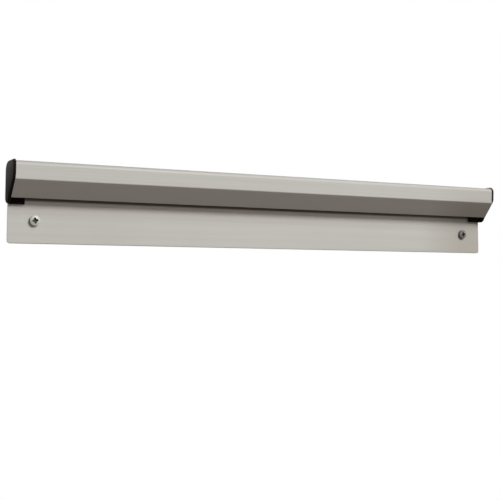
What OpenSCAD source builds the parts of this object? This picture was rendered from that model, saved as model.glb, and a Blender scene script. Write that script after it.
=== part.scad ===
// Wall-mounted order ticket holder: an aluminium rail whose hood holds loose glass marbles.
// Whatever is pushed up into the slot lifts the marbles, and their weight then grips it.
// X runs along the rail, the wall is the plane Y = 0, the front faces -Y and Z is up.
// The origin lies on the wall, midway between the two screws.

/* [Rail] */
// Length of the aluminium profile
rail_l = 457; // [250:1:900]
// Thickness of the back plate
plate_t = 2; // [1.5:0.1:3]
// Height of the back plate below the lip
plate_drop = 34; // [28:0.5:60]
// Radius of the two lower corners of the plate
plate_corner_r = 2.5; // [0.5:0.1:6]
// Rounding along the lower edge of the plate
plate_edge_r = 0.6; // [0.2:0.1:0.7]

/* [Hood] */
// Wall thickness of the hood
hood_t = 1.8; // [1.2:0.1:2.4]
// Clear gap of the slot, between the plate and the lip
slot_gap = 8; // [5:0.1:10]
// Angle of the slanted wall from the vertical
slant_angle = 40.7; // [35:0.1:48]
// How far the top of the front face leans forward, as an angle
front_lean = 2.7; // [0:0.1:5]
// Outer radius of the edge between the top and the front
top_r = 3.4; // [2.5:0.1:5]
// Outer radius of the edge between the top and the wall
back_r = 6.5; // [2.5:0.1:8]
// Outer radius of the fold between the front and the slanted wall
fold_r = 1.2; // [0.5:0.1:3]

/* [Marbles] */
// Diameter of a marble
marble_d = 16; // [14:0.1:20]
// Clearance between a resting marble and the walls beside it
marble_clear = 0.15; // [0.05:0.01:0.4]
// How far forward a marble can be pushed off the plate
marble_play = 2.45; // [1:0.05:5]
// Room left above a marble at the top of its travel
marble_headroom = 0.55; // [0.3:0.05:4]
// Least gap between neighbouring marbles
marble_gap = 1.8; // [0.5:0.1:12]
// Length of channel left free at the right end, so that the marbles can shift aside
marble_spare = 18; // [0:0.5:60]

/* [End caps] */
// Thickness of the flange outside the rail
flange_t = 2.2; // [1.5:0.1:4]
// How far the flange stands proud of the top and the front
flange_margin = 0.9; // [0.2:0.05:1.5]
// How far the flange stays back from the face of the slanted wall
flange_setback = 0.4; // [0:0.05:0.8]
// Gap between the flange and the wall
flange_wall_gap = 0.2; // [0.1:0.05:1]
// Radius of the flange at the fold
flange_fold_r = 6.5; // [1:0.1:8]
// Radius of the flange's lower front corner
flange_toe_r = 2.5; // [0.5:0.1:3.5]
// Radius of the flange's lower back corner
flange_heel_r = 5; // [0.5:0.1:6]
// Length of the plug inside the channel
plug_l = 12; // [6:0.5:20]
// Wall thickness of the hollow plug
plug_wall = 1.6; // [1:0.1:2.5]
// Clearance between the plug and the channel
plug_clear = 0.15; // [0.05:0.05:0.4]
// Thickness of the cross ribs in the plug
rib_t = 1.4; // [0.8:0.1:2.5]
// How far the flange and the tail reach below the lip
tail_drop = 4.4; // [2:0.1:8]
// Thickness of the tail that lies on the plate
tail_t = 2.5; // [1.2:0.1:4]

/* [Wall screws] */
// Distance of each screw from the end of the rail
screw_inset = 20.5; // [14:0.5:60]
// Height of the screws above the lower edge of the plate
screw_height = 17.6; // [8:0.1:20]
// Diameter of the pan head
screw_head_d = 8; // [6:0.1:9]
// Height of the pan head
screw_head_h = 3; // [2.2:0.1:3.6]
// Height of the head's straight rim
screw_rim_h = 1.8; // [0.4:0.1:2]
// Outer diameter of the thread
screw_thread_d = 4; // [3:0.1:5]
// Diameter of the plain neck under the head
screw_neck_d = 3.3; // [2.4:0.1:3.6]
// Length of the thread in the wall, without the point
screw_thread_l = 24; // [15:1:60]
// Length of the point
screw_point_l = 4; // [2:0.5:6]
// Diameter of the blunt end of the point
screw_point_d = 0.5; // [0.2:0.1:1]
// Clearance between the thread and its hole, all round
screw_hole_clear = 0.25; // [0.1:0.05:0.6]
// Length of each arm of the cross recess
recess_l = 5; // [3:0.1:5.4]
// Width of each arm of the cross recess
recess_w = 1.6; // [0.6:0.1:1.8]
// Depth of the cross recess
recess_depth = 1.8; // [0.8:0.1:2]
// Turn of each screw's recess when tightened
recess_turn = 81; // [0:1:90]

/* [Hidden] */
$fn = 64;
cut_over = 1;

plate_bottom = -screw_height;
lip_z = plate_bottom + plate_drop;
lip_centre = [-(plate_t + slot_gap + hood_t / 2), lip_z + hood_t / 2];

// Directions in the section (Y, Z): up along the slanted wall and the front, and into the channel
slant_up = [-sin(slant_angle), cos(slant_angle)];
slant_in = [cos(slant_angle), sin(slant_angle)];
front_up = [-sin(front_lean), cos(front_lean)];
front_in = [cos(front_lean), sin(front_lean)];
slant_point = lip_centre - slant_in * hood_t / 2;

// A marble at rest touches the plate and the slanted wall, less the clearance
marble_r = marble_d / 2;
marble_y = -(plate_t + marble_clear + marble_r);
marble_rest = meet(
    slant_point + slant_in * (hood_t + marble_clear + marble_r), slant_up,
    [marble_y, 0], [0, 1]
);
marble_travel = marble_play / sin(slant_angle);
marble_lifted = marble_rest + slant_up * marble_travel;

// The front and the top of the hood follow from the lifted marble
front_point = marble_lifted - front_in * (marble_r + marble_clear + hood_t);
rail_top = marble_lifted[1] + marble_r + marble_headroom + hood_t;

flange_bottom = lip_z - tail_drop;
plug_floor = lip_z + 2 * hood_t;
marble_room = rail_l - 2 * plug_l - marble_spare;
marble_count = floor(marble_room / (marble_d + marble_gap));
marble_pitch = marble_room / marble_count;
screw_x = rail_l / 2 - screw_inset;

function marble_name(i) = str("marble_", i < 10 ? "0" : "", i);
function marble_x(i) = (i - (marble_count + 1) / 2) * marble_pitch - marble_spare / 2;

function unit(v) = v / norm(v);

// Where the line through p along u crosses the line through q along v
function meet(p, u, q, v) = p + u * cross(q - p, v) / cross(u, v);

// Corners of the hood's section, moved inwards by d (at the fold's slanted side by e) from its outer surface
function top_front(d) = meet([0, rail_top - d], [1, 0], front_point + front_in * d, front_up);
function fold(d, e) = meet(front_point + front_in * d, front_up, slant_point + slant_in * e, slant_up);
function slant_at(d, z) = meet(slant_point + slant_in * d, slant_up, [0, z], [1, 0]);

// The two tangent points and the centre of an arc of radius r in a corner
function corner_arc(before, at, after, r) =
    let (
        a = unit(before - at),
        b = unit(after - at),
        half = acos(a * b) / 2
    )
    [at + a * r / tan(half), at + b * r / tan(half), at + unit(a + b) * r / sin(half)];

function place(c) = [c[0][0], c[0][1]];

function arc_of(corners, i) =
    let (n = len(corners))
    corner_arc(
        place(corners[(i + n - 1) % n]), place(corners[i]), place(corners[(i + 1) % n]), corners[i][1]
    );

// Outline through [point, radius] corners, each round one with a true arc
module rounded_outline(corners) {
    polygon([
        for (i = [0 : len(corners) - 1])
            each (corners[i][1] > 0
                ? [arc_of(corners, i)[0], arc_of(corners, i)[1]]
                : [place(corners[i])])
    ]);
    for (i = [0 : len(corners) - 1])
        if (corners[i][1] > 0)
            translate(arc_of(corners, i)[2])
                circle(r = corners[i][1]);
}

// Runs a (Y, Z) section along X from x0 for a length
module along_x(x0, length) {
    translate([x0, 0, 0])
        rotate([90, 0, 90])
            linear_extrude(length)
                children();
}

// Turns a shape drawn along +Z so that it points into the wall
module into_wall(x, y) {
    translate([x, y, 0])
        rotate([-90, 0, 0])
            children();
}

module hood_section() {
    lip_outer = lip_centre - slant_in * hood_t / 2;
    lip_inner = lip_centre + slant_in * hood_t / 2;
    difference() {
        rounded_outline([
            [[0, rail_top], back_r],
            [top_front(0), top_r],
            [fold(0, 0), fold_r],
            [lip_outer, 0],
            [lip_inner, 0],
            [[0, lip_inner[1]], 0]
        ]);
        rounded_outline([
            [[-plate_t, rail_top - hood_t], back_r - hood_t],
            [top_front(hood_t), top_r - hood_t],
            [fold(hood_t, hood_t), 0],
            [slant_at(hood_t, plate_bottom), 0],
            [[-plate_t, plate_bottom], 0]
        ]);
    }
    translate(lip_centre)
        circle(d = hood_t);
}

module plate_section() {
    rounded_outline([
        [[0, plate_bottom], plate_edge_r],
        [[0, fold(0, 0)[1]], 0],
        [[-plate_t, fold(0, 0)[1]], 0],
        [[-plate_t, plate_bottom], plate_edge_r]
    ]);
}

// What a lower corner of the plate loses to its rounding
module corner_waste() {
    difference() {
        translate([0, -plate_t - cut_over, -cut_over])
            cube([plate_corner_r + cut_over, plate_t + 2 * cut_over, plate_corner_r + cut_over]);
        translate([0, -plate_t - 2 * cut_over, plate_corner_r])
            rotate([-90, 0, 0])
                cylinder(r = plate_corner_r, h = plate_t + 4 * cut_over);
    }
}

module rail() {
    color("#bdbab3")
        difference() {
            along_x(-rail_l / 2, rail_l) {
                hood_section();
                plate_section();
            }
            for (side = [0, 1])
                mirror([side, 0, 0]) {
                    translate([rail_l / 2 - plate_corner_r, 0, plate_bottom])
                        corner_waste();
                    into_wall(screw_x, -plate_t - cut_over)
                        cylinder(d = screw_thread_d + 2 * screw_hole_clear, h = plate_t + 2 * cut_over);
                }
        }
}

module flange_section() {
    rounded_outline([
        [[-flange_wall_gap, rail_top + flange_margin], back_r + flange_margin],
        [top_front(-flange_margin), top_r + flange_margin],
        [fold(-flange_margin, flange_setback), flange_fold_r],
        [slant_at(flange_setback, flange_bottom), flange_toe_r],
        [[-flange_wall_gap, flange_bottom], flange_heel_r]
    ]);
}

// Section of the plug, or of its hollow when inset by the plug's wall
module plug_section(inset) {
    d = hood_t + plug_clear + inset;
    back = -(plate_t + plug_clear + inset);
    rounded_outline([
        [[back, rail_top - d], back_r - hood_t],
        [top_front(d), top_r - hood_t],
        [fold(d, d), 0],
        [slant_at(d, plug_floor + inset), 0],
        [[back, plug_floor + inset], 0]
    ]);
}

// Two ribs that cross in the hollow, so that no marble rolls into it
module rib_section() {
    intersection() {
        plug_section(plug_wall / 2);
        union() {
            translate([marble_rest[0] - rib_t / 2, plug_floor])
                square([rib_t, rail_top - plug_floor]);
            translate([top_front(0)[0], marble_rest[1] - rib_t / 2])
                square([-top_front(0)[0], rib_t]);
        }
    }
}

module tail_section() {
    translate([-(plate_t + plug_clear + tail_t), flange_bottom])
        square([tail_t, plug_floor + plug_wall / 2 - flange_bottom]);
}

// The right cap: flange outside, then plug, ribs and tail inside the rail
module end_cap() {
    color("#2a2827") {
        along_x(rail_l / 2, flange_t)
            flange_section();
        along_x(rail_l / 2 - plug_l, plug_l) {
            difference() {
                plug_section(0);
                plug_section(plug_wall);
            }
            rib_section();
            tail_section();
        }
    }
}

module left_end_cap() {
    mirror([1, 0, 0])
        end_cap();
}

module right_end_cap() {
    end_cap();
}

// Pan head with a domed top and a cross recess, seated on Z = 0 and standing towards -Z
module pan_head() {
    head_r = screw_head_d / 2;
    dome_h = screw_head_h - screw_rim_h;
    dome_r = (head_r * head_r + dome_h * dome_h) / (2 * dome_h);
    difference() {
        intersection() {
            translate([0, 0, -screw_head_h])
                cylinder(r = head_r, h = screw_head_h);
            translate([0, 0, dome_r - screw_head_h])
                sphere(r = dome_r);
        }
        for (turn = [0, 90])
            rotate(recess_turn + turn)
                translate([-recess_l / 2, -recess_w / 2, -screw_head_h - cut_over])
                    cube([recess_l, recess_w, recess_depth + cut_over]);
    }
}

module wall_screw() {
    pan_head();
    cylinder(d = screw_neck_d, h = plate_t);
    translate([0, 0, plate_t])
        cylinder(d = screw_thread_d, h = screw_thread_l);
    translate([0, 0, plate_t + screw_thread_l])
        cylinder(d1 = screw_thread_d, d2 = screw_point_d, h = screw_point_l);
}

module wall_screws() {
    color("#c8c7c1")
        for (x = [-screw_x, screw_x])
            into_wall(x, -plate_t)
                wall_screw();
}

module marble(i) {
    color("#a9c2b4")
        translate([marble_x(i), marble_rest[0], marble_rest[1]])
            sphere(d = marble_d);
}

rail();
left_end_cap();
right_end_cap();
wall_screws();
for (i = [1 : marble_count])
    marble(i);
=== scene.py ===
import math

import bmesh
import bpy
from mathutils import Matrix, Vector


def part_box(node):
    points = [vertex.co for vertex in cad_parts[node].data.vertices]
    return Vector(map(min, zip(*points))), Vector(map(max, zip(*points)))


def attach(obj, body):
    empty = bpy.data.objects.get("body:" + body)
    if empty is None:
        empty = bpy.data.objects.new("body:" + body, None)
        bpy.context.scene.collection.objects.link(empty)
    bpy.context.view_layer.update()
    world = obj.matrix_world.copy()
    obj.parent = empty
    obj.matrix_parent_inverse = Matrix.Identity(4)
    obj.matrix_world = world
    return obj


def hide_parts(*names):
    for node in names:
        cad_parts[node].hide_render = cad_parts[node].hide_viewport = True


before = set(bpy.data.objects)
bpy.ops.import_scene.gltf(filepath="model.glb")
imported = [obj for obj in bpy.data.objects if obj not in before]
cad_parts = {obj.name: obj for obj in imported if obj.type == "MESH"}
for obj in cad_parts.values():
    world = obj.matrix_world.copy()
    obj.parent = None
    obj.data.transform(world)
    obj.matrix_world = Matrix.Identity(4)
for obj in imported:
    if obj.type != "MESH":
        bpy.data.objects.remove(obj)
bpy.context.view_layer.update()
mm = 0.001
weld = 1e-6  # metres; vertices nearer than this are one


# Geometry Nodes helpers

def newTree(name, inputs):
    tree = bpy.data.node_groups.new(name, "GeometryNodeTree")
    tree.interface.new_socket("Geometry", in_out="INPUT", socket_type="NodeSocketGeometry")
    for label, kind in inputs.items():
        tree.interface.new_socket(label, in_out="INPUT", socket_type="NodeSocket" + kind)
    tree.interface.new_socket("Geometry", in_out="OUTPUT", socket_type="NodeSocketGeometry")
    return tree, tree.nodes.new("NodeGroupInput").outputs


def addNode(tree, kind, sockets=None, **settings):
    node = tree.nodes.new(kind)
    for key, value in settings.items():
        setattr(node, key, value)
    for key, value in (sockets or {}).items():
        for one in value if isinstance(value, list) else [value]:
            if isinstance(one, bpy.types.NodeSocket):
                tree.links.new(one, node.inputs[key])
            else:
                node.inputs[key].default_value = one
    return node


def calc(tree, operation, *terms):
    return addNode(tree, "ShaderNodeMath", dict(enumerate(terms)), operation=operation).outputs[0]


def joinXyz(tree, x=0.0, y=0.0, z=0.0):
    return addNode(tree, "ShaderNodeCombineXYZ", {"X": x, "Y": y, "Z": z}).outputs[0]


def endTree(tree, geometry, material):
    whole = addNode(tree, "GeometryNodeRealizeInstances", {"Geometry": geometry})
    dressed = addNode(tree, "GeometryNodeSetMaterial", {
        "Geometry": whole.outputs[0], "Material": material,
    })
    addNode(tree, "NodeGroupOutput", {"Geometry": dressed.outputs[0]})
    return tree


def grow(name, tree, mesh, **inputs):
    piece = bpy.data.objects.new(name, mesh)
    bpy.context.scene.collection.objects.link(piece)
    growth = piece.modifiers.new("growth", "NODES")
    growth.node_group = tree
    for item in tree.interface.items_tree:
        if item.in_out == "INPUT" and item.name in inputs:
            growth[item.identifier] = inputs[item.name]
    return piece


def addBevel(piece, width, segments, **settings):
    bevel = piece.modifiers.new("bevel", "BEVEL")
    bevel.width = width
    bevel.segments = segments
    for key, value in settings.items():
        setattr(bevel, key, value)


def settle(piece, smoothAngle):
    bpy.context.view_layer.update()
    graph = bpy.context.evaluated_depsgraph_get()
    mesh = bpy.data.meshes.new_from_object(piece.evaluated_get(graph), depsgraph=graph)
    piece.modifiers.clear()
    piece.data = mesh
    mesh.shade_smooth()
    mesh.set_sharp_from_angle(angle=math.radians(smoothAngle))


def standFor(piece, node, body):
    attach(piece, body)
    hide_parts(node)
    print(piece.name, "stands for", node, "with", len(piece.data.polygons), "faces")


# Materials, all on Object coordinates in metres

def newMaterial(name, **constants):
    material = bpy.data.materials.new(name)
    material.use_nodes = True
    tree = material.node_tree
    shader = tree.nodes["Principled BSDF"]
    for key, value in constants.items():
        shader.inputs[key.replace("_", " ")].default_value = value
    return material, tree, shader, addNode(tree, "ShaderNodeTexCoord").outputs["Object"]


def noise(tree, place, scale, detail=3.0, roughness=0.55):
    spread = addNode(tree, "ShaderNodeMapping", {"Vector": place, "Scale": scale})
    sockets = {"Vector": spread.outputs[0], "Scale": 1.0, "Detail": detail, "Roughness": roughness}
    return addNode(tree, "ShaderNodeTexNoise", sockets).outputs[0]


def ramp(tree, value, low, high, start=0.3, end=0.7):
    sockets = {"Value": value, "From Min": start, "From Max": end, "To Min": low, "To Max": high}
    return addNode(tree, "ShaderNodeMapRange", sockets).outputs[0]


def tint(tree, share, first, second):
    mix = addNode(tree, "ShaderNodeMix", data_type="RGBA")
    tree.links.new(share, mix.inputs[0])
    for slot, colour in ((6, first), (7, second)):
        if isinstance(colour, bpy.types.NodeSocket):
            tree.links.new(colour, mix.inputs[slot])
        else:
            mix.inputs[slot].default_value = (*colour, 1.0)
    return mix.outputs[2]


def bump(tree, shader, height, strength, distance):
    sockets = {"Height": height, "Strength": strength, "Distance": distance}
    tree.links.new(addNode(tree, "ShaderNodeBump", sockets).outputs[0], shader.inputs["Normal"])


plasticFinish = {
    "deep": (0.0105, 0.0084, 0.0067),
    "worn": (0.0185, 0.0152, 0.0124),
    "gloss": 0.13,
    "glossTint": (1.0, 0.80, 0.72, 1.0),
    "grainScale": (2400.0, 2400.0, 2400.0),  # spark-eroded mould texture
    "grainDetail": 2.0,
    "grainBump": 0.25,
    "grainHeight": 0.05 * mm,
    "flowScale": (120.0, 70.0, 70.0),
    "handPolishAndDarkEnd": (20 * mm, 42 * mm),  # heights between which hands have smoothed it
    "polish": 0.22,  # what they take off the roughness
    "polishLeast": 0.8,  # share of it where the flow marks are worn
}


def mouldedBlack():
    f = plasticFinish
    material, tree, shader, place = newMaterial(
        "mouldedBlack", Specular_IOR_Level=f["gloss"], Specular_Tint=f["glossTint"]
    )
    grain = noise(tree, place, f["grainScale"], f["grainDetail"])
    flow = noise(tree, place, f["flowScale"])
    black = tint(tree, ramp(tree, flow, 0.0, 1.0), f["deep"], f["worn"])
    tree.links.new(black, shader.inputs["Base Color"])
    height = addNode(tree, "ShaderNodeSeparateXYZ", {"Vector": place}).outputs["Z"]
    polish = ramp(tree, height, 0.0, f["polish"], *f["handPolishAndDarkEnd"])
    polish = calc(tree, "MULTIPLY", polish, ramp(tree, flow, 1.0, f["polishLeast"]))
    tree.links.new(calc(tree, "SUBTRACT", 1.0, polish), shader.inputs["Roughness"])
    bump(tree, shader, grain, f["grainBump"], f["grainHeight"])
    return material


glassFinish = {
    "clear": (0.88, 0.96, 0.92),
    "green": (0.72, 0.88, 0.80),
    "swirlScale": (150.0, 240.0, 240.0),
    "swirlDetail": 2.0,
}


def bottleGlass():
    f = glassFinish
    material, tree, shader, place = newMaterial(
        "bottleGlass", Transmission_Weight=1.0, IOR=1.5, Roughness=0.03
    )
    swirl = noise(tree, place, f["swirlScale"], f["swirlDetail"])
    glass = tint(tree, ramp(tree, swirl, 0.0, 1.0), f["clear"], f["green"])
    tree.links.new(glass, shader.inputs["Base Color"])
    return material


# Rail: one section swept along X, then drilled and rounded at the lower corners

railLook = {
    "plate": 2.0,
    "plateDrop": 34.0,  # plate below the lip
    "plateCorner": 2.5,
    "plateEdge": 0.6,
    "wall": 1.8,
    "slotGap": 8.0,
    "slantAngle": 40.7,
    "frontLean": 2.7,
    "topRound": 3.4,
    "backRound": 6.5,
    "foldRound": 1.2,
    "holeRadius": 2.25,
    "holeSteps": 64,
    "cornerSteps": 96,
    "toolReach": 12.0,  # of the drills and corner cutters, across the plate
    "screwInset": 20.5,
    "arcStep": 7.0,  # degrees
    "flatMargin": 0.2,
    "edgeBreak": 0.18,
    "edgeSteps": 2,
    "edgeAngle": 50.0,
    "smoothAngle": 30.0,
}


def crossing(p, u, q, v):
    return p + u * ((q - p).cross(v) / u.cross(v))


def arcPoints(centre, start, end, arcStep):
    a, b = start - centre, end - centre
    turn = math.atan2(a.cross(b), a.dot(b))
    steps = max(2, math.ceil(abs(math.degrees(turn)) / arcStep))
    first = math.atan2(a.y, a.x)
    angles = [first + turn * i / steps for i in range(steps + 1)]
    return [centre + a.length * Vector((math.cos(angle), math.sin(angle))) for angle in angles]


def roundedCorner(before, at, after, radius):
    a, b = (before - at).normalized(), (after - at).normalized()
    half = a.angle(b) / 2
    reach = radius / math.tan(half)
    centre = at + (a + b).normalized() * (radius / math.sin(half))
    points = arcPoints(centre, at + a * reach, at + b * reach, railLook["arcStep"])
    margin = railLook["flatMargin"]  # keeps the shading of the flats flat
    return [points[0] + a * margin, *points, points[-1] + b * margin]


def railFaces():
    r = railLook
    low, high = (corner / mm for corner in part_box("rail"))
    slant, lean = math.radians(r["slantAngle"]), math.radians(r["frontLean"])
    slantIn = Vector((math.cos(slant), math.sin(slant)))
    frontIn = Vector((math.cos(lean), math.sin(lean)))
    bead = r["wall"] / 2
    lip = Vector((-(r["plate"] + r["slotGap"] + bead), low.z + r["plateDrop"] + bead))
    onFront = Vector((low.y + r["topRound"], high.z - r["topRound"])) - frontIn * r["topRound"]
    return {
        "bottom": low.z,
        "top": high.z,
        "lip": lip,  # centre of the bead that ends the slanted wall
        "bead": bead,
        "front": (onFront, frontIn),  # a point on the face and the way into the metal
        "slant": (lip - slantIn * bead, slantIn),
    }


railFace = railFaces()


def railSection():
    r = railLook
    bottom, top, lip, bead = (railFace[part] for part in ("bottom", "top", "lip", "bead"))
    onFront, frontIn = railFace["front"]
    onSlant, slantIn = railFace["slant"]
    slantUp, frontUp = Vector((-slantIn.y, slantIn.x)), Vector((-frontIn.y, frontIn.x))
    level = Vector((1, 0))

    def topFront(depth):
        return crossing(Vector((0, top - depth)), level, onFront + frontIn * depth, frontUp)

    def fold(depth):
        return crossing(onFront + frontIn * depth, frontUp, onSlant + slantIn * depth, slantUp)

    plateFront = -r["plate"]
    corners = [
        (Vector((0, bottom)), r["plateEdge"]),
        (Vector((0, top)), r["backRound"]),
        (topFront(0), r["topRound"]),
        (fold(0), r["foldRound"]),
        (onSlant, None),  # the lip's bead starts here
        (fold(r["wall"]), 0),
        (topFront(r["wall"]), r["topRound"] - r["wall"]),
        (Vector((plateFront, top - r["wall"])), r["backRound"] - r["wall"]),
        (Vector((plateFront, bottom)), r["plateEdge"]),
    ]
    outline = []
    for i, (at, radius) in enumerate(corners):
        if radius is None:
            under = lip - slantUp * bead
            outline += arcPoints(lip, onSlant, under, r["arcStep"])
            outline += arcPoints(lip, under, lip + slantIn * bead, r["arcStep"])[1:]
        elif radius == 0:
            outline.append(at)
        else:
            outline += roundedCorner(corners[i - 1][0], at, corners[(i + 1) % len(corners)][0], radius)
    return outline


def sectionMesh(name, outline):
    form = bmesh.new()
    face = form.faces.new([form.verts.new((0, p.x * mm, p.y * mm)) for p in outline])
    face.normal_update()
    if face.normal.x < 0:
        face.normal_flip()
    mesh = bpy.data.meshes.new(name)
    form.to_mesh(mesh)
    form.free()
    return mesh


def railTree():
    tree, given = newTree("railSweep", {
        "Length": "Float", "Hole Radius": "Float", "Hole Spacing": "Float",
        "Corner Radius": "Float", "Bottom": "Float", "Reach": "Float", "Material": "Material",
    })
    half = calc(tree, "MULTIPLY", given["Length"], 0.5)
    start = joinXyz(tree, calc(tree, "MULTIPLY", half, -1.0))
    leftEnd = addNode(tree, "GeometryNodeTransform", {
        "Geometry": given["Geometry"], "Translation": start,
    })
    swept = addNode(tree, "GeometryNodeExtrudeMesh", {
        "Mesh": leftEnd.outputs[0], "Offset": (1, 0, 0), "Offset Scale": given["Length"],
        "Individual": False,
    }, mode="FACES")
    closed = addNode(tree, "GeometryNodeFlipFaces", {"Mesh": leftEnd.outputs[0]})
    whole = addNode(tree, "GeometryNodeJoinGeometry", {
        "Geometry": [swept.outputs[0], closed.outputs[0]],
    })
    solid = addNode(tree, "GeometryNodeMergeByDistance", {
        "Geometry": whole.outputs[0], "Distance": weld,
    })

    # Two drills, one for each wall screw
    spacing = given["Hole Spacing"]
    sites = addNode(tree, "GeometryNodeMeshLine", {
        "Count": 2, "Start Location": joinXyz(tree, calc(tree, "MULTIPLY", spacing, -0.5)),
        "Offset": joinXyz(tree, spacing),
    }, mode="OFFSET")
    drill = addNode(tree, "GeometryNodeMeshCylinder", {
        "Vertices": railLook["holeSteps"], "Radius": given["Hole Radius"], "Depth": given["Reach"],
    })
    drills = addNode(tree, "GeometryNodeInstanceOnPoints", {
        "Points": sites.outputs[0], "Instance": drill.outputs[0], "Rotation": (math.pi / 2, 0, 0),
    })

    # A block less a cylinder rounds a lower corner; the left one is the right one turned about Z
    radius = given["Corner Radius"]
    side = calc(tree, "MULTIPLY", radius, 2.0)
    block = addNode(tree, "GeometryNodeMeshCube", {"Size": joinXyz(tree, side, given["Reach"], side)})
    core = addNode(tree, "GeometryNodeMeshCylinder", {
        "Vertices": railLook["cornerSteps"], "Radius": radius,
        "Depth": calc(tree, "MULTIPLY", given["Reach"], 2.0),
    })
    moved = addNode(tree, "GeometryNodeTransform", {
        "Geometry": core.outputs[0], "Rotation": (math.pi / 2, 0, 0),
        "Translation": joinXyz(tree, calc(tree, "MULTIPLY", radius, -1.0), 0.0, radius),
    })
    waste = addNode(tree, "GeometryNodeMeshBoolean", {
        "Mesh 1": block.outputs[0], "Mesh 2": moved.outputs[0],
    }, operation="DIFFERENCE", solver="EXACT")
    ends = addNode(tree, "GeometryNodeMeshLine", {
        "Count": 2, "Start Location": joinXyz(tree, half, 0.0, given["Bottom"]),
        "Offset": joinXyz(tree, calc(tree, "MULTIPLY", given["Length"], -1.0)),
    }, mode="OFFSET")
    order = addNode(tree, "GeometryNodeInputIndex").outputs[0]
    wastes = addNode(tree, "GeometryNodeInstanceOnPoints", {
        "Points": ends.outputs[0], "Instance": waste.outputs[0],
        "Rotation": joinXyz(tree, 0.0, 0.0, calc(tree, "MULTIPLY", order, math.pi)),
    })
    tools = addNode(tree, "GeometryNodeJoinGeometry", {
        "Geometry": [drills.outputs[0], wastes.outputs[0]],
    })
    cutters = addNode(tree, "GeometryNodeRealizeInstances", {"Geometry": tools.outputs[0]})
    cut = addNode(tree, "GeometryNodeMeshBoolean", {
        "Mesh 1": solid.outputs[0], "Mesh 2": cutters.outputs[0],
    }, operation="DIFFERENCE", solver="EXACT")
    return endTree(tree, cut.outputs[0], given["Material"])


satinFinish = {
    "dull": (0.500, 0.486, 0.450),
    "bright": (0.575, 0.560, 0.520),
    "metallic": 0.2,
    "grain": (  # scale, detail, roughness and share
        ((5.0, 1300.0, 1300.0), 4.0, 0.60, 0.50),  # brush marks, long in X, 0.8 mm across
        ((1.2, 240.0, 240.0), 3.0, 0.55, 0.25),  # wider bands
        ((11.0, 16.0, 16.0), 4.0, 0.55, 0.25),  # smudges
    ),
    "roughness": (0.68, 0.58),
    "grainBump": 0.12,
    "grainHeight": 0.03 * mm,
    "sawn": (0.62, 0.605, 0.57),
    "sawScale": (40.0, 1800.0, 60.0),
    "sawDetail": 2.0,
    "sawDepth": 0.15 * mm,
    "mill": (0.16, 0.155, 0.147),  # painted shade inside the channel, far darker than the metal
    "channelShadeEdge": (0.1 * mm, 0.3 * mm),  # distances from the inner faces between which it sets in
    "millFrom": (-0.7 * mm, 0.2 * mm),  # heights from the lip between which it sets in
    "dust": (0.375, 0.360, 0.332),  # dust on the top, dark enough to also paint shade over the rounded top edge's highlight
    "dustDepth": (2.0 * mm, 4.0 * mm),
    "dustShare": 0.55,
    "rubbedAndLit": (0.80, 0.71, 0.64),  # painted light in the hood's shadow on the plate under the lip, where use has also polished it
    "rubbedLitDepth": 11.0 * mm,
    "rubbedPolish": 0.15,
    "handPolishAndDarkEnd": (0.445, 0.42, 0.372),  # darker towards the right end, mostly below the hood's front
    "darkEndSlant": (0.27, 0.24, 0.21),
    "darkEndFrom": (160 * mm, 205 * mm),
    "darkEndBelow": (26 * mm, 34 * mm),
    "darkEndLeast": 0.4,
    "slantShade": (0.36, 0.33, 0.294),  # painted shade on the downward-facing slanted wall
    "slantShadeDepth": 0.5 * mm,
    "grime": (0.10, 0.068, 0.044),  # painted shadow in the mouth of the slot, on the plate just under the lip
    "grimeFrom": (-2.3 * mm, -0.8 * mm),  # heights from the lip between which it sets in
    "plateTo": (1.0 * mm, 3.0 * mm),  # heights from the lip between which the painted light and the painted shadow on the plate end
    "onFace": 0.3 * mm,  # what counts as on the plate's front
}

lipLow = (railFace["lip"].y - railFace["bead"]) * mm


def brushedGrain(tree, place):
    grain = 0.0
    for scale, detail, roughness, share in satinFinish["grain"]:
        pattern = noise(tree, place, scale, detail, roughness)
        grain = calc(tree, "MULTIPLY_ADD", pattern, share, grain)
    return grain


def depthFrom(tree, y, z, point, inward):
    across = calc(tree, "MULTIPLY_ADD", z, inward.y, calc(tree, "MULTIPLY", y, inward.x))
    return calc(tree, "SUBTRACT", across, point.dot(inward) * mm)


# Painted shade inside the channel: behind the front and slanted walls, from just under the lip up
def insideChannel(tree, y, z, fromTop, fromLip):
    f, wall, plate = satinFinish, railLook["wall"] * mm, railLook["plate"] * mm
    depth = fromTop
    for face in ("front", "slant"):
        depth = calc(tree, "MINIMUM", depth, depthFrom(tree, y, z, *railFace[face]))
    start, end = f["channelShadeEdge"]
    behind = ramp(tree, depth, 0.0, 1.0, wall - end, wall - start)
    clear = ramp(tree, y, 1.0, 0.0, start - plate, end - plate)
    above = ramp(tree, fromLip, 0.0, 1.0, *f["millFrom"])
    return calc(tree, "MULTIPLY", calc(tree, "MULTIPLY", behind, clear), above)


# Painted shade on the outer face of the slanted wall
def underSlant(tree, y, z, fromLip):
    depth = calc(tree, "ABSOLUTE", depthFrom(tree, y, z, *railFace["slant"]))
    near = ramp(tree, depth, 1.0, 0.0, 0.0, satinFinish["slantShadeDepth"])
    return calc(tree, "MULTIPLY", near, calc(tree, "GREATER_THAN", fromLip, 0.0))


def onPlate(tree, y, fromLip, share):
    front = calc(tree, "COMPARE", y, -railLook["plate"] * mm, satinFinish["onFace"])
    below = ramp(tree, fromLip, 1.0, 0.0, *satinFinish["plateTo"])
    return calc(tree, "MULTIPLY", calc(tree, "MULTIPLY", front, below), share)


# Painted light on the plate under the lip, fading out downwards
def rubbedLitBand(tree, y, fromLip):
    near = ramp(tree, fromLip, 0.0, 1.0, -satinFinish["rubbedLitDepth"], 0.0)
    return onPlate(tree, y, fromLip, near)


# Painted shadow on the plate just under the lip, in the slot's mouth
def slotMouth(tree, y, fromLip):
    setsIn = ramp(tree, fromLip, 0.0, 1.0, *satinFinish["grimeFrom"])
    return onPlate(tree, y, fromLip, setsIn)


# Darker towards the right end, most of all below the hood's front
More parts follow.
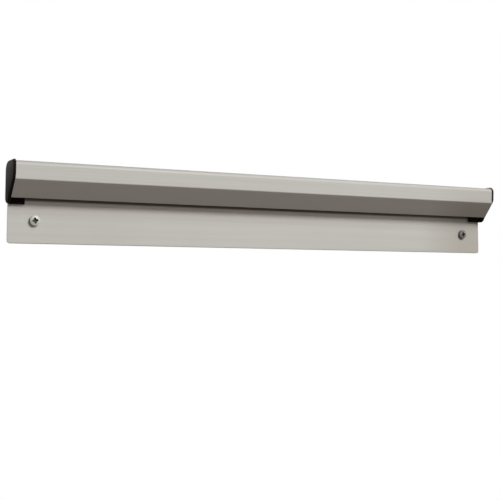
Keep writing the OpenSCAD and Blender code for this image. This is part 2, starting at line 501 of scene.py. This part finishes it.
def darkRightEnd(tree, x, y, z):
    f = satinFinish
    front = calc(tree, "LESS_THAN", y, -railLook["plate"] / 2 * mm)
    near = calc(tree, "MULTIPLY", front, ramp(tree, x, 0.0, 1.0, *f["darkEndFrom"]))
    return calc(tree, "MULTIPLY", near, ramp(tree, z, 1.0, f["darkEndLeast"], *f["darkEndBelow"]))


def satinAluminium(halfLength):
    f = satinFinish
    material, tree, shader, place = newMaterial("satinAluminium", Metallic=f["metallic"])
    x, y, z = addNode(tree, "ShaderNodeSeparateXYZ", {"Vector": place}).outputs
    fromTop = calc(tree, "SUBTRACT", railFace["top"] * mm, z)
    fromLip = calc(tree, "SUBTRACT", z, lipLow)
    grain = brushedGrain(tree, place)
    rubbedAndLit = rubbedLitBand(tree, y, fromLip)
    handPolishAndDarkEnd = darkRightEnd(tree, x, y, z)
    slantShade = tint(tree, handPolishAndDarkEnd, f["slantShade"], f["darkEndSlant"])
    layers = (
        (ramp(tree, fromTop, f["dustShare"], 0.0, *f["dustDepth"]), f["dust"]),
        (rubbedAndLit, f["rubbedAndLit"]),
        (handPolishAndDarkEnd, f["handPolishAndDarkEnd"]),
        (underSlant(tree, y, z, fromLip), slantShade),
        (insideChannel(tree, y, z, fromTop, fromLip), f["mill"]),
        (slotMouth(tree, y, fromLip), f["grime"]),
    )
    rolled = tint(tree, ramp(tree, grain, 0.0, 1.0), f["dull"], f["bright"])
    for share, colour in layers:
        rolled = tint(tree, share, rolled, colour)
    atEnd = calc(tree, "GREATER_THAN", calc(tree, "ABSOLUTE", x), halfLength - f["sawDepth"])
    saw = noise(tree, place, f["sawScale"], f["sawDetail"])
    sawn = tint(tree, ramp(tree, saw, 0.0, 1.0), f["dull"], f["sawn"])
    tree.links.new(tint(tree, atEnd, rolled, sawn), shader.inputs["Base Color"])
    polish = calc(tree, "MULTIPLY", rubbedAndLit, f["rubbedPolish"])
    rough = calc(tree, "SUBTRACT", ramp(tree, grain, *f["roughness"]), polish)
    tree.links.new(rough, shader.inputs["Roughness"])
    bump(tree, shader, grain, f["grainBump"], f["grainHeight"])
    return material


railLow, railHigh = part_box("rail")
railLength = railHigh.x - railLow.x
screwSpacing = railLength - 2 * railLook["screwInset"] * mm
rail = grow(
    "rail_profile", railTree(), sectionMesh("railSection", railSection()),
    **{
        "Length": railLength, "Hole Radius": railLook["holeRadius"] * mm, "Hole Spacing": screwSpacing,
        "Corner Radius": railLook["plateCorner"] * mm, "Bottom": railLow.z,
        "Reach": railLook["toolReach"] * mm, "Material": satinAluminium(railLength / 2),
    },
)
addBevel(
    rail, railLook["edgeBreak"] * mm, railLook["edgeSteps"],
    limit_method="ANGLE", angle_limit=math.radians(railLook["edgeAngle"]),
)
settle(rail, railLook["smoothAngle"])
standFor(rail, "rail", "rail")


# End caps: the moulding of the frame, its outer face pillowed and its inner edges rounded

capLook = {
    "edgeRound": 1.3,
    "crown": 0.35,  # rise of the outer face inside its rounded edge
    "wallEdge": 0.8,
    "edgeRings": 6,
    "crownRings": 8,
    "innerRound": 0.25,
    "innerSteps": 3,
    "flatAngle": 0.5,  # faces that meet at less are one
    "sharpAngle": 35.0,
    "smoothAngle": 30.0,
}


def pillow(form, face, side):
    c = capLook
    loop = list(face.verts)
    points = [Vector((v.co.y, v.co.z)) for v in loop]
    outer = abs(loop[0].co.x)
    inward = []
    for i, point in enumerate(points):
        a = (point - points[i - 1]).normalized()
        b = (points[(i + 1) % len(points)] - point).normalized()
        turn = Vector((-(a + b).y, (a + b).x)).normalized() * side
        share = 1 - c["wallEdge"] * max(0, -turn.x)  # the edge at the wall stays nearly square
        inward.append(turn * share / turn.dot(Vector((-a.y, a.x)) * side))
    base = outer - (c["edgeRound"] + c["crown"]) * mm
    for vertex in loop:
        vertex.co.x = side * base
    rings = []
    for k in range(1, c["edgeRings"] + 1):
        angle = math.pi / 2 * k / (c["edgeRings"] + 0.5)
        shift = c["edgeRound"] * (1 - math.cos(angle)) * mm
        rise = c["edgeRound"] * math.sin(angle) * mm
        rings.append(([p + d * shift for p, d in zip(points, inward)], base + rise))
    brow, browRise = rings[-1]
    centre = sum(brow, Vector((0, 0))) / len(brow)
    for k in range(1, c["crownRings"]):
        t = k / c["crownRings"]
        rise = (outer - browRise) * (2 * t - t * t)
        rings.append(([centre + (p - centre) * (1 - t) for p in brow], browRise + rise))
    form.faces.remove(face)
    last = loop
    for ring, x in rings:
        made = [form.verts.new((side * x, p.x, p.y)) for p in ring]
        for i in range(len(made)):
            form.faces.new((last[i - 1], last[i], made[i], made[i - 1]))
        last = made
    tip = form.verts.new((side * outer, centre.x, centre.y))
    for i in range(len(last)):
        form.faces.new((last[i - 1], last[i], tip))


def softCap(node, name, material):
    c = capLook
    form = bmesh.new()
    form.from_mesh(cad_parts[node].data)
    bmesh.ops.remove_doubles(form, verts=form.verts, dist=weld)
    flat = math.radians(c["flatAngle"])
    bmesh.ops.dissolve_limit(form, angle_limit=flat, verts=form.verts, edges=form.edges)
    outer = max(abs(v.co.x) for v in form.verts)
    face = next(f for f in form.faces if all(abs(abs(v.co.x) - outer) < weld for v in f.verts))
    pillow(form, face, math.copysign(1, face.normal.x))
    form.normal_update()
    weight = form.edges.layers.float.new("bevel_weight_edge")
    sharp = math.radians(c["sharpAngle"])
    for edge in form.edges:
        edge[weight] = float(edge.is_manifold and edge.calc_face_angle() > sharp)
    mesh = bpy.data.meshes.new(name)
    form.to_mesh(mesh)
    form.free()
    mesh.materials.append(material)
    cap = bpy.data.objects.new(name, mesh)
    bpy.context.scene.collection.objects.link(cap)
    addBevel(cap, c["innerRound"] * mm, c["innerSteps"], limit_method="WEIGHT")
    settle(cap, c["smoothAngle"])
    standFor(cap, node, node)


capPlastic = mouldedBlack()
softCap("left_end_cap", "left_cap_moulding", capPlastic)
softCap("right_end_cap", "right_cap_moulding", capPlastic)


# Wall screws: pan head with a tapered cross recess and a rolled thread

screwLook = {
    "headRadius": 4.0,
    "headHeight": 3.0,
    "rimHeight": 1.8,
    "domeSteps": 12,
    "shoulder": 0.3,
    "shoulderDrop": 1.15,  # of the shoulder's width
    "shoulderSteps": 5,
    "seatBreak": 0.12,
    "neckRadius": 1.65,
    "neckTaper": 0.3,
    "coreRadius": 1.42,
    "threadRadius": 2.0,
    "threadLength": 28.0,  # with the point
    "threadEnd": 0.9,  # left bare before the tip
    "turnSteps": 30.0,
    "pointLength": 4.0,
    "pointRadius": 0.2,
    "pointRound": (0.25, 0.05),  # before the tip
    "pitch": 1.75,
    "ridgeHalf": 0.42,
    "ridgeRoot": 0.1,  # sunk in the core
    "recessLength": 5.0,
    "recessWidth": 1.6,
    "recessDepth": 1.8,
    "recessTaper": 0.62,
    "recessNarrowing": 0.45,  # share of the taper that the width takes
    "recessTurn": 81.0,
    "recessRoot": 1.3,  # the arms widen towards the centre
    "cutterRise": 1.0,  # above the dome
    "smoothAngle": 35.0,
}


def domeRadius():
    rise = screwLook["headHeight"] - screwLook["rimHeight"]
    return (screwLook["headRadius"] ** 2 + rise ** 2) / (2 * rise)


zincFinish = {
    "grey": (0.55, 0.54, 0.49),
    "pale": (0.72, 0.70, 0.635),
    "metallic": 0.12,
    "roughness": (0.60, 0.50),
    "cloudScale": (700.0, 700.0, 700.0),
    "cloudDetail": 4.0,
    "pitScale": (3800.0, 3800.0, 3800.0),
    "pitDetail": 1.0,
    "pitBump": 0.15,
    "pitHeight": 0.02 * mm,
    # painted shade in the cross recess
    "recess": (0.03, 0.029, 0.026),
    "recessDepth": (0.05 * mm, 0.45 * mm),
    "recessMargin": 1.1,  # on the square of its reach
    "rim": (0.13, 0.122, 0.092),  # painted shade on the side of the head, all round it
    "rimFade": 0.5 * mm,
    "seatMargin": 0.02 * mm,
    "rightHeadDarker": (0.075, 0.072, 0.064),  # painted darker reflection on the right screw's head
    "darkerFrom": (1.8 * mm, 3.0 * mm),  # distances from the screw's axis
    "darkerShare": (0.55, 1.0),
    "darkerCloud": 0.7,
    "darkerRough": 0.3,
}


def headMasks(tree, place):
    f, s, plate = zincFinish, screwLook, railLook["plate"] * mm
    x, y, z = addNode(tree, "ShaderNodeSeparateXYZ", {"Vector": place}).outputs
    aside = calc(tree, "SUBTRACT", calc(tree, "ABSOLUTE", x), screwSpacing / 2)
    square = calc(tree, "MULTIPLY_ADD", aside, aside, calc(tree, "MULTIPLY", z, z))
    bulge = calc(tree, "DIVIDE", square, 2 * domeRadius() * mm)
    crown = -plate - s["headHeight"] * mm
    sunk = calc(tree, "SUBTRACT", calc(tree, "SUBTRACT", y, crown), bulge)
    reach = s["recessLength"] / 2 * mm
    near = calc(tree, "LESS_THAN", square, reach ** 2 * f["recessMargin"])
    inHead = calc(tree, "LESS_THAN", y, -plate - f["seatMargin"])
    # the recess mask, for the painted shade in it
    deep = ramp(tree, sunk, 0.0, 1.0, *f["recessDepth"])
    recess = calc(tree, "MULTIPLY", calc(tree, "MULTIPLY", deep, near), inHead)
    rimTop = -plate - s["rimHeight"] * mm
    low = ramp(tree, y, 0.0, 1.0, rimTop, rimTop + f["rimFade"])
    rim = calc(tree, "MULTIPLY", calc(tree, "MULTIPLY", low, inHead), calc(tree, "SUBTRACT", 1.0, near))
    # Right screw only: painted darker reflection, growing towards the head's edge
    start, end = (distance ** 2 for distance in f["darkerFrom"])
    outer = ramp(tree, square, *f["darkerShare"], start, end)
    darkerRightHead = calc(tree, "MULTIPLY", outer, calc(tree, "GREATER_THAN", x, 0.0))
    return recess, rim, darkerRightHead


def zincPlate():
    f = zincFinish
    material, tree, shader, place = newMaterial("zincPlate", Metallic=f["metallic"])
    cloud = noise(tree, place, f["cloudScale"], f["cloudDetail"])
    pits = noise(tree, place, f["pitScale"], f["pitDetail"])
    recess, rim, darkerRightHead = headMasks(tree, place)
    plated = tint(tree, ramp(tree, cloud, 0.0, 1.0), f["grey"], f["pale"])
    rightHeadDarker = calc(tree, "MULTIPLY", darkerRightHead, ramp(tree, cloud, 1.0, f["darkerCloud"]))
    for share, layer in ((rightHeadDarker, "rightHeadDarker"), (rim, "rim"), (recess, "recess")):
        plated = tint(tree, share, plated, f[layer])
    tree.links.new(plated, shader.inputs["Base Color"])
    rough = calc(tree, "MULTIPLY_ADD", darkerRightHead, f["darkerRough"], ramp(tree, cloud, *f["roughness"]))
    tree.links.new(rough, shader.inputs["Roughness"])
    bump(tree, shader, pits, f["pitBump"], f["pitHeight"])
    return material


def lathe(form, profile, segments=72):
    rings = []
    for radius, z in profile:
        if radius == 0:
            rings.append([form.verts.new((0, 0, z * mm))])
            continue
        angles = [2 * math.pi * i / segments for i in range(segments)]
        rings.append([
            form.verts.new((radius * mm * math.cos(a), radius * mm * math.sin(a), z * mm)) for a in angles
        ])
    for a, b in zip(rings, rings[1:]):
        for i in range(segments):
            j = (i + 1) % segments
            corners = [a[i % len(a)], a[j % len(a)], b[j % len(b)], b[i % len(b)]]
            form.faces.new(list(dict.fromkeys(corners)))
    bmesh.ops.recalc_face_normals(form, faces=form.faces)


def screwBlank():
    s = screwLook
    curve = domeRadius()
    reach = s["headRadius"] - s["shoulder"]
    dome = []
    for i in range(s["domeSteps"] + 1):
        r = reach * i / s["domeSteps"]
        dome.append((r, -s["headHeight"] + curve - math.sqrt(curve ** 2 - r ** 2)))
    edge = dome[-1][1]
    shoulder = []
    for i in range(1, s["shoulderSteps"] + 1):
        angle = math.pi / 2 * i / s["shoulderSteps"]
        drop = s["shoulder"] * s["shoulderDrop"] * (1 - math.cos(angle))
        shoulder.append((reach + s["shoulder"] * math.sin(angle), edge + drop))
    plate = railLook["plate"]
    tip = plate + s["threadLength"]
    roundFrom, roundTo = s["pointRound"]
    profile = [
        *dome, *shoulder,
        (s["headRadius"], -s["seatBreak"]), (s["headRadius"] - s["seatBreak"], 0), (s["neckRadius"], 0),
        (s["neckRadius"], plate - s["neckTaper"]), (s["coreRadius"], plate),
        (s["coreRadius"], tip - s["pointLength"]),
        (s["pointRadius"], tip - roundFrom), (0, tip - roundTo),
    ]
    form = bmesh.new()
    lathe(form, profile)
    mesh = bpy.data.meshes.new("screwBlank")
    form.to_mesh(mesh)
    form.free()
    return mesh


def recessCutter():
    s = screwLook
    form = bmesh.new()
    rings = []
    # above the dome, at its top, and at the floor of the recess
    for z, size in ((-s["cutterRise"], 1.0), (0.0, 1.0), (s["recessDepth"], s["recessTaper"])):
        a = s["recessLength"] / 2 * size
        b = s["recessWidth"] / 2 * (1 - s["recessNarrowing"] * (1 - size))
        c = b * s["recessRoot"]
        cross = [(a, -b), (a, b), (c, c), (b, a), (-b, a), (-c, c),
                 (-a, b), (-a, -b), (-c, -c), (-b, -a), (b, -a), (c, -c)]
        rings.append([form.verts.new((x * mm, y * mm, (z - s["headHeight"]) * mm)) for x, y in cross])
    for a, b in zip(rings, rings[1:]):
        for i in range(len(a)):
            form.faces.new((a[i - 1], a[i], b[i], b[i - 1]))
    form.faces.new(rings[0])
    form.faces.new(rings[-1])
    bmesh.ops.recalc_face_normals(form, faces=form.faces)
    mesh = bpy.data.meshes.new("recessCutter")
    form.to_mesh(mesh)
    form.free()
    mesh.transform(Matrix.Rotation(math.radians(s["recessTurn"]), 4, "Z"))
    cutter = bpy.data.objects.new("recessCutter", mesh)
    bpy.context.scene.collection.objects.link(cutter)
    return cutter


def screwTree():
    tree, given = newTree("screwPair", {
        "Recess": "Object", "Thread Start": "Float", "Thread Length": "Float", "Point Length": "Float",
        "Pitch": "Float", "Turn Steps": "Float", "Ridge Radius": "Float", "Ridge Height": "Float",
        "Ridge Half Width": "Float", "Spacing": "Float", "Seat": "Float", "Material": "Material",
    })
    recess = addNode(tree, "GeometryNodeObjectInfo", {"Object": given["Recess"]})
    head = addNode(tree, "GeometryNodeMeshBoolean", {
        "Mesh 1": given["Geometry"], "Mesh 2": recess.outputs["Geometry"],
    }, operation="DIFFERENCE", solver="EXACT")

    # The thread's ridge: a helix that closes in on the point
    line = addNode(tree, "GeometryNodeCurvePrimitiveLine", {"End": (0, 0, 1)})
    turns = calc(tree, "DIVIDE", given["Thread Length"], given["Pitch"])
    count = calc(tree, "ROUND", calc(tree, "MULTIPLY", turns, given["Turn Steps"]))
    path = addNode(tree, "GeometryNodeResampleCurve", {
        "Curve": line.outputs[0], "Count": count,
    })
    t = addNode(tree, "GeometryNodeSplineParameter").outputs["Factor"]
    angle = calc(tree, "MULTIPLY", calc(tree, "MULTIPLY", t, turns), 2 * math.pi)
    along = calc(tree, "MULTIPLY", t, given["Thread Length"])
    left = calc(tree, "SUBTRACT", given["Thread Length"], along)
    closing = calc(tree, "MINIMUM", calc(tree, "DIVIDE", left, given["Point Length"]), 1.0)
    radius = calc(tree, "MULTIPLY", given["Ridge Radius"], closing)
    spot = joinXyz(
        tree,
        calc(tree, "MULTIPLY", radius, calc(tree, "COSINE", angle)),
        calc(tree, "MULTIPLY", radius, calc(tree, "SINE", angle)),
        calc(tree, "ADD", along, given["Thread Start"]),
    )
    helix = addNode(tree, "GeometryNodeSetPosition", {"Geometry": path.outputs[0], "Position": spot})
    upright = addNode(tree, "GeometryNodeSetCurveNormal", {"Curve": helix.outputs[0]}, mode="Z_UP")
    diamond = addNode(tree, "GeometryNodeCurvePrimitiveCircle", {
        "Resolution": 4, "Radius": 1.0,
    }, mode="RADIUS")
    ridge = addNode(tree, "GeometryNodeTransform", {
        "Geometry": diamond.outputs[0],
        "Scale": joinXyz(tree, given["Ridge Height"], given["Ridge Half Width"], 1.0),
    })
    thread = addNode(tree, "GeometryNodeCurveToMesh", {
        "Curve": upright.outputs[0], "Profile Curve": ridge.outputs[0], "Fill Caps": True,
    })
    screw = addNode(tree, "GeometryNodeJoinGeometry", {"Geometry": [head.outputs[0], thread.outputs[0]]})
    sites = addNode(tree, "GeometryNodeMeshLine", {
        "Count": 2,
        "Start Location": joinXyz(tree, calc(tree, "MULTIPLY", given["Spacing"], -0.5), given["Seat"]),
        "Offset": joinXyz(tree, given["Spacing"]),
    }, mode="OFFSET")
    pair = addNode(tree, "GeometryNodeInstanceOnPoints", {
        "Points": sites.outputs[0], "Instance": screw.outputs[0], "Rotation": (-math.pi / 2, 0, 0),
    })
    return endTree(tree, pair.outputs[0], given["Material"])


cutter = recessCutter()
ridgeHeight = screwLook["threadRadius"] - screwLook["coreRadius"] + screwLook["ridgeRoot"]
screws = grow(
    "wall_screw_pair", screwTree(), screwBlank(),
    **{
        "Recess": cutter, "Thread Start": (railLook["plate"] + screwLook["neckTaper"]) * mm,
        "Thread Length": (screwLook["threadLength"] - screwLook["threadEnd"]) * mm,
        "Point Length": screwLook["pointLength"] * mm, "Pitch": screwLook["pitch"] * mm,
        "Turn Steps": screwLook["turnSteps"],
        "Ridge Radius": (screwLook["threadRadius"] - ridgeHeight) * mm, "Ridge Height": ridgeHeight * mm,
        "Ridge Half Width": screwLook["ridgeHalf"] * mm, "Spacing": screwSpacing,
        "Seat": -railLook["plate"] * mm, "Material": zincPlate(),
    },
)
settle(screws, screwLook["smoothAngle"])
bpy.data.objects.remove(cutter)
standFor(screws, "wall_screws", "rail")


# Marbles: glass balls, each a little out of round in its own way

marbleLook = {
    "wobble": 0.03,
    "wobbleScale": 130.0,  # per metre
    "wobbleDetail": 1.0,
    "subdivisions": 5,
    "smoothAngle": 60.0,
}


def marbleTree():
    tree, given = newTree("glassMarble", {
        "Radius": "Float", "Centre": "Vector", "Wobble": "Float", "Scale": "Float", "Seed": "Float",
        "Material": "Material",
    })
    ball = addNode(tree, "GeometryNodeMeshIcoSphere", {
        "Radius": given["Radius"], "Subdivisions": marbleLook["subdivisions"],
    })
    place = addNode(tree, "GeometryNodeInputPosition").outputs[0]
    normal = addNode(tree, "GeometryNodeInputNormal").outputs[0]
    uneven = addNode(tree, "ShaderNodeTexNoise", {
        "Vector": place, "W": given["Seed"], "Scale": given["Scale"],
        "Detail": marbleLook["wobbleDetail"],
    }, noise_dimensions="4D").outputs[0]
    inward = calc(tree, "MULTIPLY", calc(tree, "SUBTRACT", uneven, 1.0), given["Wobble"])
    push = addNode(tree, "ShaderNodeVectorMath", {0: normal, "Scale": inward}, operation="SCALE")
    shaped = addNode(tree, "GeometryNodeSetPosition", {
        "Geometry": ball.outputs[0], "Offset": push.outputs[0],
    })
    put = addNode(tree, "GeometryNodeTransform", {
        "Geometry": shaped.outputs[0], "Translation": given["Centre"],
    })
    return endTree(tree, put.outputs[0], given["Material"])


ballTree, ballGlass = marbleTree(), bottleGlass()
marbleNodes = sorted(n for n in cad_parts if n.startswith("marble_"))
for number, node in enumerate(marbleNodes, 1):
    low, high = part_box(node)
    marble = grow(
        f"glass_marble_{number:02d}", ballTree, bpy.data.meshes.new(node + "_glass"),
        **{
            "Radius": (high.x - low.x) / 2, "Centre": (low + high) / 2,
            "Wobble": marbleLook["wobble"] * mm, "Scale": marbleLook["wobbleScale"],
            "Seed": float(number), "Material": ballGlass,
        },
    )
    settle(marble, marbleLook["smoothAngle"])
    standFor(marble, node, node)


# Stage: a pale floor well below, a white surround, a soft key lamp and a weak one behind

stageLook = {
    "floorDrop": 1.3,
    "floorRadius": 4.5,
    "floorSteps": 96,
    "floorColour": (0.72, 0.685, 0.65),
    "floorDim": 0.97,  # at the darkest of its clouds
    "floorCloud": (2.0, 2.0, 2.0),
    "floorGlow": 0.77,
    "surround": 1.0,
}


def seenRays(tree):
    rays = addNode(tree, "ShaderNodeLightPath").outputs
    seen = calc(tree, "ADD", rays["Is Camera Ray"], rays["Is Glossy Ray"])
    return calc(tree, "MINIMUM", calc(tree, "ADD", seen, rays["Is Transmission Ray"]), 1.0)


def paleFloor():
    f = stageLook
    form = bmesh.new()
    bmesh.ops.create_circle(form, cap_ends=True, segments=f["floorSteps"], radius=f["floorRadius"])
    mesh = bpy.data.meshes.new("floor")
    form.to_mesh(mesh)
    form.free()
    for vertex in mesh.vertices:
        vertex.co.z = -f["floorDrop"]
    material, tree, shader, place = newMaterial("paleFloor", Roughness=0.9, Specular_IOR_Level=0.1)
    shade = noise(tree, place, f["floorCloud"])
    dim = tuple(f["floorDim"] * c for c in f["floorColour"])
    colour = tint(tree, ramp(tree, shade, 0.0, 1.0), dim, f["floorColour"])
    tree.links.new(colour, shader.inputs["Base Color"])
    tree.links.new(colour, shader.inputs["Emission Color"])
    glow = calc(tree, "MULTIPLY", seenRays(tree), f["floorGlow"])
    tree.links.new(glow, shader.inputs["Emission Strength"])
    mesh.materials.append(material)
    floor = bpy.data.objects.new("floor", mesh)
    bpy.context.scene.collection.objects.link(floor)


def whiteSurround():
    world = bpy.data.worlds.new("surround")
    bpy.context.scene.world = world
    world.use_nodes = True
    tree = world.node_tree
    strength = calc(tree, "MULTIPLY", seenRays(tree), stageLook["surround"])
    background = tree.nodes["Background"]
    background.inputs["Color"].default_value = (1, 1, 1, 1)
    tree.links.new(strength, background.inputs["Strength"])


lamps = {
    "keyLamp": {"at": (0.6, -1.5, 1.22), "aim": (-0.9, 0, 0), "power": 43.9, "size": 0.95},
    "backLamp": {"at": (-0.3, 0.95, 0.12), "aim": (0, 0, 0), "power": 6.0, "size": 0.9},
}


def softLamp(name, at, aim, power, size):
    light = bpy.data.lights.new(name, "AREA")
    light.energy = power
    light.shape = "SQUARE"
    light.size = size
    lamp = bpy.data.objects.new(name, light)
    lamp.location = at
    lamp.rotation_euler = (Vector(aim) - Vector(at)).to_track_quat("-Z", "Y").to_euler()
    bpy.context.scene.collection.objects.link(lamp)


cameraLook = {
    "at": (-0.4227, -0.7519, -0.0513),
    "yaw": 28.14,
    "pitch": 4.92,
    "lens": 72.18,
    "shiftY": -0.096,
}


def photoCamera():
    c = cameraLook
    data = bpy.data.cameras.new("camera")
    data.lens = c["lens"]
    data.sensor_width = 36.0
    data.shift_y = c["shiftY"]
    data.clip_start = 0.01
    camera = bpy.data.objects.new("camera", data)
    camera.location = c["at"]
    camera.rotation_euler = (math.radians(90 + c["pitch"]), 0, math.radians(-c["yaw"]))
    bpy.context.scene.collection.objects.link(camera)
    bpy.context.scene.camera = camera


paleFloor()
whiteSurround()
for lampName, lamp in lamps.items():
    softLamp(lampName, **lamp)
photoCamera()
bpy.context.scene.view_settings.view_transform = "Standard"
print("stage: floor, surround,", len(lamps), "lamps and camera")
